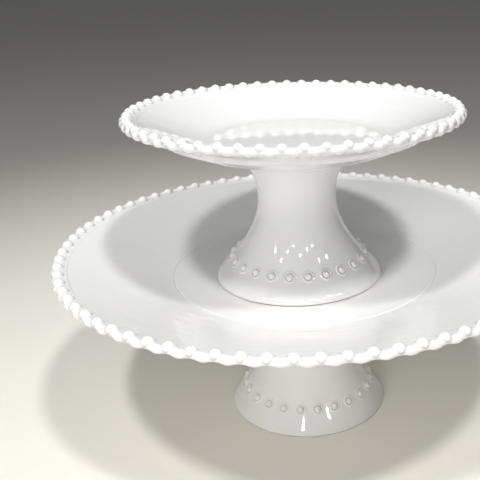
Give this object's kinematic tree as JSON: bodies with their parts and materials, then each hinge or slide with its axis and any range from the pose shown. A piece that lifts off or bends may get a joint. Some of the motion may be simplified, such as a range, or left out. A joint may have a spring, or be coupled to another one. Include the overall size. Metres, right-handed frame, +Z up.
{
  "type": "tiered cake stand",
  "caption": "Two-tier glazed stoneware cake stand: a small footed plate standing on a larger one, both with pearl-beaded rims and flared hollow pedestals.",
  "frame": {"origin": "centre of the lower stand's foot, on the surface it stands on", "axes": "+Z up through the lower stand's axis, +X right and +Y towards the back"},
  "size_m": [0.34, 0.3398, 0.2227],
  "materials": {
    "white_glaze": "glossy white glaze over stoneware",
    "pearl_glaze": "glossy white glaze, slightly warmer where it breaks over the pearls",
    "glazed_slip": "glazed joint of slip",
    "bare_clay": "bare fired clay, wiped free of glaze"
  },
  "bodies": {
    "lower_stand": {"lower_plate": "white_glaze", "lower_rim_pearls": "pearl_glaze", "lower_slip_joint": "glazed_slip", "lower_pedestal": "white_glaze", "lower_pedestal_pearls": "pearl_glaze", "lower_foot_ring": "bare_clay"},
    "upper_stand": {"upper_plate": "white_glaze", "upper_rim_pearls": "pearl_glaze", "upper_slip_joint": "glazed_slip", "upper_pedestal": "white_glaze", "upper_pedestal_pearls": "pearl_glaze", "upper_foot_ring": "bare_clay"}
  },
  "joints": [
    {"name": "upper_lift", "type": "slide", "parent": "lower_stand", "child": "upper_stand", "axis": [0, 0, 1], "range_m": [0, 0.15]}
  ]
}
